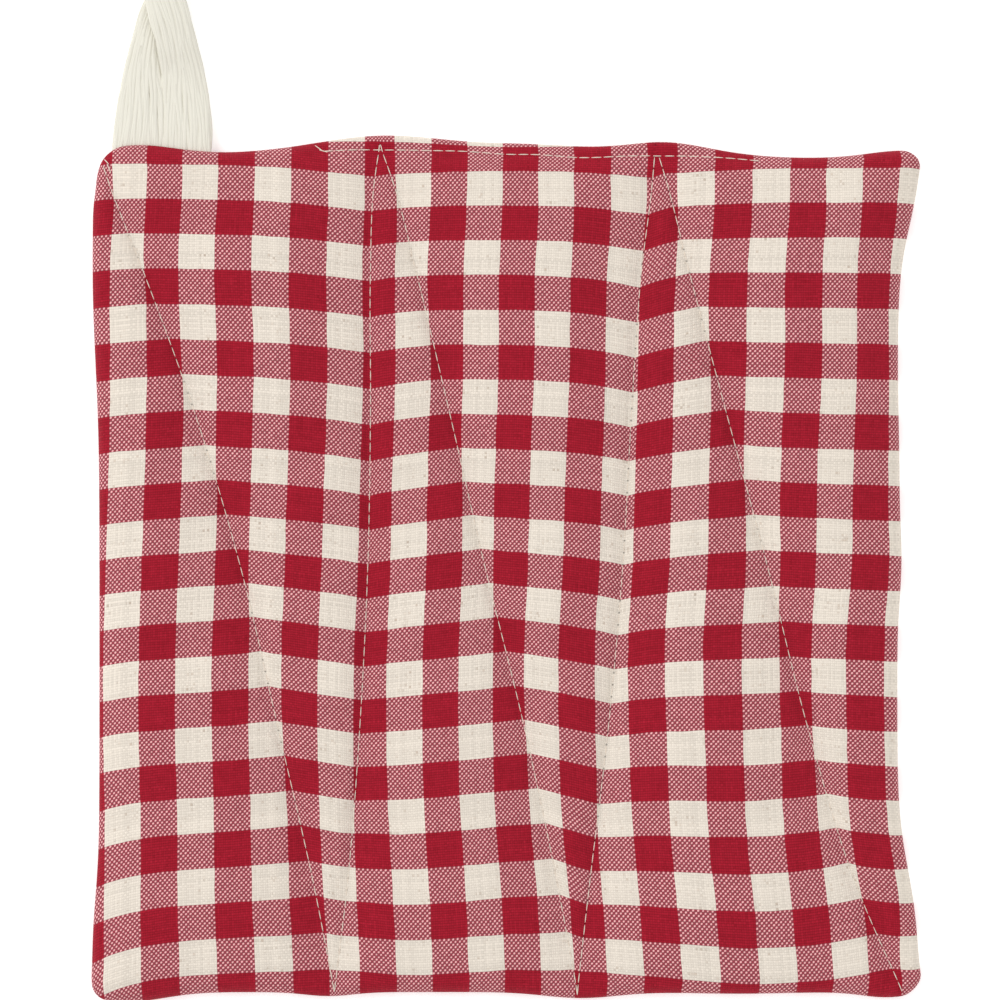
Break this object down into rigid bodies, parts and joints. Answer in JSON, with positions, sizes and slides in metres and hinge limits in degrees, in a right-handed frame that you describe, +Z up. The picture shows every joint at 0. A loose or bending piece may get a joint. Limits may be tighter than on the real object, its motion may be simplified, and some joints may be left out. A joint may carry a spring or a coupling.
{
  "type": "pot holder",
  "caption": "Square padded pot holder in woven gingham, quilted with a zigzag of stitched channels, with a doubled cotton yarn loop at a corner to hang it by.",
  "frame": {"origin": "middle of the padded square's underside, on the surface that it lies on", "axes": "+Z up out of the face that shows, +Y towards the edge that carries the hanging loop, +X to the right, away from the loop's corner, as the face is seen"},
  "size_m": [0.2071, 0.288, 0.0079],
  "materials": {
    "gingham_cloth": "matte plain weave cotton, red and cream gingham",
    "cotton_yarn": "matte undyed cotton yarn"
  },
  "bodies": {
    "root": {"padded_body": "gingham_cloth", "hanging_loop": "cotton_yarn"}
  },
  "joints": []
}
